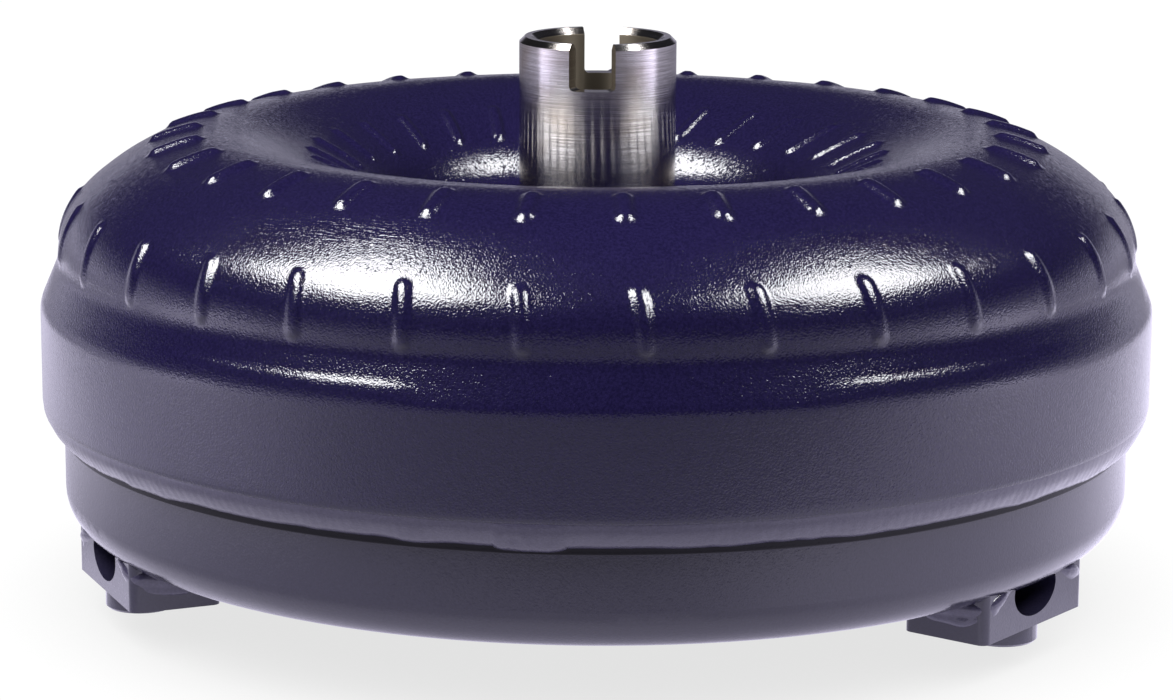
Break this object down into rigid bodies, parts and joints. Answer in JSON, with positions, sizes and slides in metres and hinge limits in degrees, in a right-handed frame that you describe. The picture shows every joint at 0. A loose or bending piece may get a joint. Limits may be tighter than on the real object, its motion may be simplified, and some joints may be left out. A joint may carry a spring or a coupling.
{
  "type": "torque converter",
  "caption": "Round welded torque converter: painted two-piece housing with a slotted hub, blade ribs and threaded lugs, holding an impeller, turbine, stator and one-way clutch.",
  "frame": {"origin": "on the shaft axis, in the plane of the faces of the lugs that bolt to the flexplate", "axes": "+Z along the shaft axis from the engine towards the transmission, so the pump hub points up; -Y is towards the viewer, with one drive slot 4 degrees to the -X side of it"},
  "size_m": [0.3376, 0.3376, 0.1692],
  "materials": {
    "indigo_paint": "gloss",
    "turned_steel": "satin",
    "pressed_steel": "satin",
    "cast_aluminium": "satin",
    "hardened_steel": "polished",
    "spring_steel": "satin",
    "bearing_cage": "satin"
  },
  "bodies": {
    "housing": {"front_cover": "indigo_paint", "crank_pilot": "turned_steel", "pilot_weld": "indigo_paint", "mounting_lugs": "indigo_paint", "lug_welds": "indigo_paint", "impeller_shell": "indigo_paint", "closure_weld": "indigo_paint", "impeller_hub": "turned_steel", "hub_weld": "indigo_paint", "impeller_core_ring": "pressed_steel", "impeller_blades": "pressed_steel", "front_bearing_race_cover": "hardened_steel", "rear_bearing_race_impeller": "hardened_steel"},
    "turbine": {"turbine_shell": "pressed_steel", "turbine_core_ring": "pressed_steel", "turbine_blades": "pressed_steel", "turbine_hub": "pressed_steel", "turbine_rivets": "pressed_steel", "front_bearing_race_turbine": "hardened_steel", "mid_bearing_race_turbine": "hardened_steel"},
    "stator_race": {"clutch_inner_race": "hardened_steel"},
    "stator": {"stator_wheel": "cast_aluminium", "clutch_outer_race": "hardened_steel", "clutch_springs": "spring_steel", "clutch_front_cap": "cast_aluminium", "clutch_rear_cap": "cast_aluminium", "stator_snap_ring": "spring_steel", "mid_bearing_race_stator": "hardened_steel", "rear_bearing_race_stator": "hardened_steel"},
    "front_bearing_roll": {"front_bearing_cage": "bearing_cage", "front_bearing_needles": "hardened_steel"},
    "mid_bearing_roll": {"mid_bearing_cage": "bearing_cage", "mid_bearing_needles": "hardened_steel"},
    "rear_bearing_roll": {"rear_bearing_cage": "bearing_cage", "rear_bearing_needles": "hardened_steel"},
    "roller_01": {"clutch_roller_01": "hardened_steel"},
    "roller_02": {"clutch_roller_02": "hardened_steel"},
    "roller_03": {"clutch_roller_03": "hardened_steel"},
    "roller_04": {"clutch_roller_04": "hardened_steel"},
    "roller_05": {"clutch_roller_05": "hardened_steel"},
    "roller_06": {"clutch_roller_06": "hardened_steel"},
    "roller_07": {"clutch_roller_07": "hardened_steel"},
    "roller_08": {"clutch_roller_08": "hardened_steel"},
    "roller_09": {"clutch_roller_09": "hardened_steel"},
    "roller_10": {"clutch_roller_10": "hardened_steel"}
  },
  "joints": [
    {"name": "turbine_spin", "type": "hinge", "parent": "housing", "child": "turbine", "pos_m": [0, 0, 0.05], "axis": [0, 0, 1], "continuous": true},
    {"name": "race_spin", "type": "hinge", "parent": "housing", "child": "stator_race", "pos_m": [0, 0, 0.0818], "axis": [0, 0, 1], "continuous": true},
    {"name": "stator_freewheel", "type": "hinge", "parent": "stator_race", "child": "stator", "pos_m": [0, 0, 0.0818], "axis": [0, 0, 1], "continuous": true},
    {"name": "front_bearing_spin", "type": "hinge", "parent": "housing", "child": "front_bearing_roll", "pos_m": [0, 0, 0.0277], "axis": [0, 0, 1], "continuous": true},
    {"name": "mid_bearing_spin", "type": "hinge", "parent": "turbine", "child": "mid_bearing_roll", "pos_m": [0, 0, 0.0677], "axis": [0, 0, 1], "continuous": true},
    {"name": "rear_bearing_spin", "type": "hinge", "parent": "housing", "child": "rear_bearing_roll", "pos_m": [0, 0, 0.0957], "axis": [0, 0, 1], "continuous": true},
    {"name": "roller_01_spin", "type": "hinge", "parent": "stator", "child": "roller_01", "pos_m": [0.03505, 0, 0.0817], "axis": [0, 0, 1], "continuous": true},
    {"name": "roller_02_spin", "type": "hinge", "parent": "stator", "child": "roller_02", "pos_m": [0.02836, 0.0206, 0.0817], "axis": [0, 0, 1], "continuous": true},
    {"name": "roller_03_spin", "type": "hinge", "parent": "stator", "child": "roller_03", "pos_m": [0.01083, 0.03333, 0.0817], "axis": [0, 0, 1], "continuous": true},
    {"name": "roller_04_spin", "type": "hinge", "parent": "stator", "child": "roller_04", "pos_m": [-0.01083, 0.03333, 0.0817], "axis": [0, 0, 1], "continuous": true},
    {"name": "roller_05_spin", "type": "hinge", "parent": "stator", "child": "roller_05", "pos_m": [-0.02836, 0.0206, 0.0817], "axis": [0, 0, 1], "continuous": true},
    {"name": "roller_06_spin", "type": "hinge", "parent": "stator", "child": "roller_06", "pos_m": [-0.03505, 0, 0.0817], "axis": [0, 0, 1], "continuous": true},
    {"name": "roller_07_spin", "type": "hinge", "parent": "stator", "child": "roller_07", "pos_m": [-0.02836, -0.0206, 0.0817], "axis": [0, 0, 1], "continuous": true},
    {"name": "roller_08_spin", "type": "hinge", "parent": "stator", "child": "roller_08", "pos_m": [-0.01083, -0.03333, 0.0817], "axis": [0, 0, 1], "continuous": true},
    {"name": "roller_09_spin", "type": "hinge", "parent": "stator", "child": "roller_09", "pos_m": [0.01083, -0.03333, 0.0817], "axis": [0, 0, 1], "continuous": true},
    {"name": "roller_10_spin", "type": "hinge", "parent": "stator", "child": "roller_10", "pos_m": [0.02836, -0.0206, 0.0817], "axis": [0, 0, 1], "continuous": true}
  ],
  "couplings": [
    {"joint": "front_bearing_spin", "follows": "turbine_spin", "ratio": 0.5},
    {"joint": "mid_bearing_spin", "follows": "turbine_spin", "ratio": -0.5},
    {"joint": "rear_bearing_spin", "follows": "race_spin", "ratio": 0.5},
    {"joint": "roller_01_spin", "follows": "stator_freewheel", "ratio": 7.75},
    {"joint": "roller_02_spin", "follows": "stator_freewheel", "ratio": 7.75},
    {"joint": "roller_03_spin", "follows": "stator_freewheel", "ratio": 7.75},
    {"joint": "roller_04_spin", "follows": "stator_freewheel", "ratio": 7.75},
    {"joint": "roller_05_spin", "follows": "stator_freewheel", "ratio": 7.75},
    {"joint": "roller_06_spin", "follows": "stator_freewheel", "ratio": 7.75},
    {"joint": "roller_07_spin", "follows": "stator_freewheel", "ratio": 7.75},
    {"joint": "roller_08_spin", "follows": "stator_freewheel", "ratio": 7.75},
    {"joint": "roller_09_spin", "follows": "stator_freewheel", "ratio": 7.75},
    {"joint": "roller_10_spin", "follows": "stator_freewheel", "ratio": 7.75}
  ]
}
